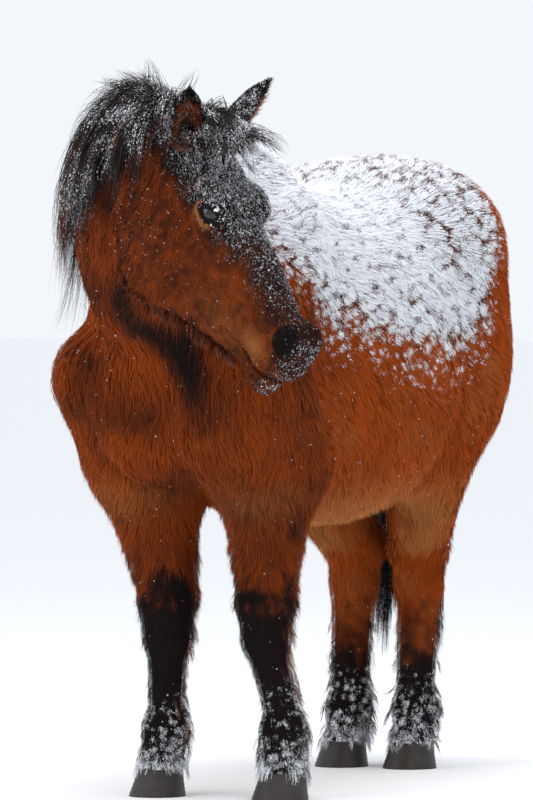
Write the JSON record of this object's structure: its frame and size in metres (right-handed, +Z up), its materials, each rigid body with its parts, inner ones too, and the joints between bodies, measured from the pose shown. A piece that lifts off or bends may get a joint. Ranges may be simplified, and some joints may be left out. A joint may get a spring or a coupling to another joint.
{
  "type": "icelandic horse model",
  "caption": "Life-size still model of a bay Icelandic horse in its winter coat, standing with its head turned to its left.",
  "frame": {"origin": "Middle of the footprint at floor level: the centre of the bounding box's base.", "axes": "+Z up, the horse faces -Y, its left side is +X."},
  "size_m": [0.7878, 1.9894, 1.5152],
  "materials": {
    "coat": "long matt winter hair, red-brown with snow on the back",
    "points": "matt hair, black-brown",
    "hair": "coarse hair, black-brown",
    "eye": "wet, dark brown",
    "hoof": "horn, dark grey"
  },
  "bodies": {
    "root": {"eye_left": "eye", "eye_right": "eye", "head": "coat", "neck": "coat", "torso": "coat", "foreleg_left_upper": "coat", "foreleg_left_lower": "points", "foreleg_right_upper": "coat", "foreleg_right_lower": "points", "hindleg_left_upper": "coat", "hindleg_left_lower": "points", "hindleg_right_upper": "coat", "hindleg_right_lower": "points", "hoof_front_left": "hoof", "hoof_hind_left": "hoof", "hoof_front_right": "hoof", "hoof_hind_right": "hoof", "ear_left": "coat", "ear_right": "coat", "mane": "hair", "forelock": "hair", "tail": "hair"}
  },
  "joints": []
}
